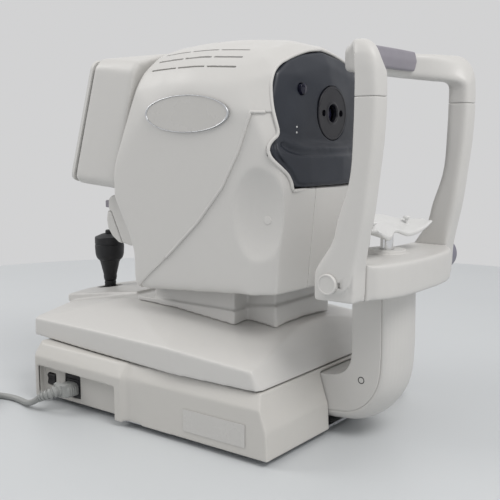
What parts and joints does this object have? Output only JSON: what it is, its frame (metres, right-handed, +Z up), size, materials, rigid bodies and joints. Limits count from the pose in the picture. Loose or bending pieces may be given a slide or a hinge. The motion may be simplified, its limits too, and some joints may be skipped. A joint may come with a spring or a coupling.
{
  "type": "autorefractor",
  "caption": "Table-top eye-measuring instrument: joystick stage, lifting head with a round window, tilting monitor, printer, chin rest and brow rest.",
  "frame": {"origin": "centre of the footprint on the table top, measured without the mains lead", "axes": "+X to the operator's right, +Y towards the patient, +Z up"},
  "size_m": [0.4735, 0.5925, 0.451],
  "materials": {
    "shell": "fine moulded texture, satin",
    "lower_shell": "fine moulded texture, satin",
    "dark_panel": "dark slate, soft satin",
    "window_disc": "smooth black",
    "glass": "coated lens glass",
    "pad": "soft matt rubber",
    "knob": "soft matt rubber",
    "black_rubber": "matt black rubber",
    "black_plastic": "matt black",
    "steel": "ground steel",
    "aluminium": "milled",
    "chrome": "bright chrome",
    "cord": "grey flexible sheath",
    "cup": "white, satin",
    "label": "satin silver-grey foil",
    "paper": "thermal paper, matt",
    "screen": "dark display cover"
  },
  "bodies": {
    "base": {"base_cover": "lower_shell", "base_plate": "steel", "foot_1": "black_rubber", "foot_2": "black_rubber", "foot_3": "black_rubber", "foot_4": "black_rubber", "inlet_panel": "lower_shell", "mains_inlet": "black_plastic", "rating_plate": "label", "power_supply": "aluminium", "rack_right": "steel", "rack_left": "steel", "pillar_shell": "shell", "pillar_side_right": "shell", "pillar_side_left": "shell", "crossbar": "shell", "arm_right": "shell", "arm_left": "shell", "hub_cap_right": "shell", "brow_bow": "shell", "forehead_pad": "pad", "lead_connector": "cord", "mains_lead": "cord", "lead_coil": "cord", "lead_tail": "cord", "mains_plug": "cord"},
    "rocker": {"power_rocker": "black_plastic"},
    "carriage": {"axle_carrier": "aluminium"},
    "axle": {"cross_axle": "steel"},
    "stage": {"stage_cover": "shell", "stage_plate": "aluminium", "neck_skirt": "shell", "lift_column": "aluminium"},
    "screw": {"lead_screw": "steel"},
    "gimbal": {"gimbal_ring": "steel"},
    "joystick": {"joystick_stem": "black_rubber"},
    "grip": {"joystick_grip": "black_rubber"},
    "trigger": {"joystick_button": "black_rubber"},
    "head": {"head_cover": "shell", "nose_cover_center": "shell", "nose_cover_right": "shell", "nose_cover_left": "shell", "front_panel": "dark_panel", "window_ring": "window_disc", "window_lens": "glass", "sensor_window": "glass", "optical_barrel": "black_plastic", "head_chassis": "aluminium", "nameplate_right": "label", "nameplate_left": "label"},
    "monitor": {"monitor_rear": "shell", "monitor_bezel": "shell", "monitor_screen": "screen"},
    "printer_lid": {"printer_cover": "shell"},
    "roll": {"paper_roll": "paper"},
    "print_key": {"printer_button": "pad"},
    "chin_rest": {"chin_cup": "cup", "chin_post": "chrome"},
    "knob": {"chin_knob": "knob"}
  },
  "joints": [
    {"name": "power_switch", "type": "hinge", "parent": "base", "child": "rocker", "pos_m": [0.147, -0.185, 0.029], "axis": [0, 1, 0], "range_deg": [-7, 7]},
    {"name": "carriage_slide", "type": "slide", "parent": "base", "child": "carriage", "axis": [0, 1, 0], "range_m": [-0.03, 0.01]},
    {"name": "axle_roll", "type": "hinge", "parent": "carriage", "child": "axle", "pos_m": [0, -0.04, 0.0605], "axis": [1, 0, 0], "range_deg": [-60, 175]},
    {"name": "stage_slide", "type": "slide", "parent": "carriage", "child": "stage", "axis": [1, 0, 0], "range_m": [-0.043, 0.043]},
    {"name": "head_lift", "type": "slide", "parent": "stage", "child": "head", "axis": [0, 0, 1], "range_m": [0, 0.03]},
    {"name": "screw_turn", "type": "hinge", "parent": "stage", "child": "screw", "pos_m": [0, 0, 0.19], "axis": [0, 0, 1], "range_deg": [0, 540]},
    {"name": "stick_pitch", "type": "hinge", "parent": "stage", "child": "gimbal", "pos_m": [0, -0.233, 0.096], "axis": [1, 0, 0], "range_deg": [-10, 10]},
    {"name": "stick_roll", "type": "hinge", "parent": "gimbal", "child": "joystick", "pos_m": [0, -0.233, 0.096], "axis": [0, 1, 0], "range_deg": [-10, 10]},
    {"name": "grip_turn", "type": "hinge", "parent": "joystick", "child": "grip", "pos_m": [0, -0.233, 0.17], "axis": [0, 0, 1], "range_deg": [0, 540]},
    {"name": "button_press", "type": "slide", "parent": "joystick", "child": "trigger", "axis": [0, 0, -1], "range_m": [0, 0.0015], "stiffness_N_per_m": 300},
    {"name": "monitor_tilt", "type": "hinge", "parent": "head", "child": "monitor", "pos_m": [0, -0.112, 0.268], "axis": [1, 0, 0], "range_deg": [0, 12]},
    {"name": "lid_hinge", "type": "hinge", "parent": "head", "child": "printer_lid", "pos_m": [0, -0.1429, 0.1985], "axis": [1, 0, 0], "range_deg": [0, 70]},
    {"name": "roll_spin", "type": "hinge", "parent": "head", "child": "roll", "pos_m": [0, -0.134, 0.2215], "axis": [1, 0, 0], "continuous": true},
    {"name": "print_press", "type": "slide", "parent": "head", "child": "print_key", "axis": [0, 1, 0], "range_m": [0, 0.0015], "stiffness_N_per_m": 400},
    {"name": "chin_lift", "type": "slide", "parent": "base", "child": "chin_rest", "axis": [0, 0, 1], "range_m": [-0.01, 0.05]},
    {"name": "knob_turn", "type": "hinge", "parent": "base", "child": "knob", "pos_m": [-0.13, 0.212, 0.194], "axis": [1, 0, 0], "range_deg": [-75, 360]}
  ],
  "couplings": [
    {"joint": "axle_roll", "follows": "carriage_slide", "rad_per_m": -100},
    {"joint": "screw_turn", "follows": "head_lift", "rad_per_m": 314.16},
    {"joint": "grip_turn", "follows": "head_lift", "rad_per_m": 314.16},
    {"joint": "knob_turn", "follows": "chin_lift", "rad_per_m": 125}
  ]
}
